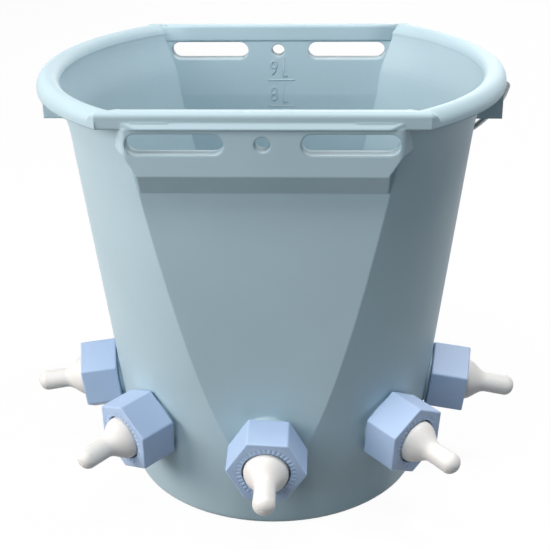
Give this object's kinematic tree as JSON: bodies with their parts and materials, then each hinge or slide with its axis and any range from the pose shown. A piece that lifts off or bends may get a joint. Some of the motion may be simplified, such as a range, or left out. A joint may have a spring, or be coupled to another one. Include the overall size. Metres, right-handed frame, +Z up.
{
  "type": "multi teat lamb feeder",
  "caption": "Flat-sided feeding bucket with a wire bail, hanger pads with slots at front and back, and rubber teats held by hexagonal union nuts round its lower wall.",
  "frame": {"origin": "centre of the flat underside, on the floor", "axes": "+Z up, -Y towards the front with the middle teat, +X to the right when looking along +Y, along the bail pivot"},
  "size_m": [0.3286, 0.2827, 0.28],
  "materials": {
    "bucket": "satin moulded polyethylene, pale grey-blue",
    "bail": "drawn galvanised wire",
    "nut": "satin moulded plastic, pale periwinkle",
    "teat": "soft off-white rubber",
    "spigot": "satin moulded plastic, pale grey",
    "gasket": "black rubber",
    "valve_cage": "smooth white plastic",
    "valve_ball": "smooth red rubber"
  },
  "bodies": {
    "bucket": {"bucket": "bucket", "spigot_1": "spigot", "spigot_2": "spigot", "spigot_3": "spigot", "spigot_4": "spigot", "spigot_5": "spigot", "gasket_1": "gasket", "gasket_2": "gasket", "gasket_3": "gasket", "gasket_4": "gasket", "gasket_5": "gasket", "valve_cage_1": "valve_cage", "valve_cage_2": "valve_cage", "valve_cage_3": "valve_cage", "valve_cage_4": "valve_cage", "valve_cage_5": "valve_cage"},
    "bail": {"bail": "bail"},
    "teat_1": {"teat_1": "teat"},
    "nut_1": {"nut_1": "nut"},
    "valve_ball_1": {"valve_ball_1": "valve_ball"},
    "teat_2": {"teat_2": "teat"},
    "nut_2": {"nut_2": "nut"},
    "valve_ball_2": {"valve_ball_2": "valve_ball"},
    "teat_3": {"teat_3": "teat"},
    "nut_3": {"nut_3": "nut"},
    "valve_ball_3": {"valve_ball_3": "valve_ball"},
    "teat_4": {"teat_4": "teat"},
    "nut_4": {"nut_4": "nut"},
    "valve_ball_4": {"valve_ball_4": "valve_ball"},
    "teat_5": {"teat_5": "teat"},
    "nut_5": {"nut_5": "nut"},
    "valve_ball_5": {"valve_ball_5": "valve_ball"}
  },
  "joints": [
    {"name": "bail_swing", "type": "hinge", "parent": "bucket", "child": "bail", "pos_m": [0, 0, 0.266], "axis": [1, 0, 0], "range_deg": [0, 262]},
    {"name": "teat_slide_1", "type": "slide", "parent": "bucket", "child": "teat_1", "axis": [-0.989, -0.0865, -0.1201], "range_m": [0, 0.012]},
    {"name": "nut_turn_1", "type": "hinge", "parent": "teat_1", "child": "nut_1", "pos_m": [-0.10584, -0.00926, 0.064], "axis": [-0.989, -0.0865, -0.1201], "range_deg": [0, 1080]},
    {"name": "ball_slide_1", "type": "slide", "parent": "bucket", "child": "valve_ball_1", "axis": [0.989, 0.0865, 0.1201], "range_m": [0, 0.0035]},
    {"name": "teat_slide_2", "type": "slide", "parent": "bucket", "child": "teat_2", "axis": [-0.702, -0.702, -0.1201], "range_m": [0, 0.012]},
    {"name": "nut_turn_2", "type": "hinge", "parent": "teat_2", "child": "nut_2", "pos_m": [-0.07513, -0.07513, 0.064], "axis": [-0.702, -0.702, -0.1201], "range_deg": [0, 1080]},
    {"name": "ball_slide_2", "type": "slide", "parent": "bucket", "child": "valve_ball_2", "axis": [0.702, 0.702, 0.1201], "range_m": [0, 0.0035]},
    {"name": "teat_slide_3", "type": "slide", "parent": "bucket", "child": "teat_3", "axis": [0, -0.9928, -0.1201], "range_m": [0, 0.012]},
    {"name": "nut_turn_3", "type": "hinge", "parent": "teat_3", "child": "nut_3", "pos_m": [0, -0.10623, 0.064], "axis": [0, -0.9928, -0.1201], "range_deg": [0, 1080]},
    {"name": "ball_slide_3", "type": "slide", "parent": "bucket", "child": "valve_ball_3", "axis": [0, 0.9928, 0.1201], "range_m": [0, 0.0035]},
    {"name": "teat_slide_4", "type": "slide", "parent": "bucket", "child": "teat_4", "axis": [0.702, -0.702, -0.1201], "range_m": [0, 0.012]},
    {"name": "nut_turn_4", "type": "hinge", "parent": "teat_4", "child": "nut_4", "pos_m": [0.07513, -0.07513, 0.064], "axis": [0.702, -0.702, -0.1201], "range_deg": [0, 1080]},
    {"name": "ball_slide_4", "type": "slide", "parent": "bucket", "child": "valve_ball_4", "axis": [-0.702, 0.702, 0.1201], "range_m": [0, 0.0035]},
    {"name": "teat_slide_5", "type": "slide", "parent": "bucket", "child": "teat_5", "axis": [0.989, -0.0865, -0.1201], "range_m": [0, 0.012]},
    {"name": "nut_turn_5", "type": "hinge", "parent": "teat_5", "child": "nut_5", "pos_m": [0.10584, -0.00926, 0.064], "axis": [0.989, -0.0865, -0.1201], "range_deg": [0, 1080]},
    {"name": "ball_slide_5", "type": "slide", "parent": "bucket", "child": "valve_ball_5", "axis": [-0.989, 0.0865, 0.1201], "range_m": [0, 0.0035]}
  ],
  "couplings": [
    {"joint": "teat_slide_1", "follows": "nut_turn_1", "m_per_rad": 0.00063662},
    {"joint": "teat_slide_2", "follows": "nut_turn_2", "m_per_rad": 0.00063662},
    {"joint": "teat_slide_3", "follows": "nut_turn_3", "m_per_rad": 0.00063662},
    {"joint": "teat_slide_4", "follows": "nut_turn_4", "m_per_rad": 0.00063662},
    {"joint": "teat_slide_5", "follows": "nut_turn_5", "m_per_rad": 0.00063662}
  ]
}
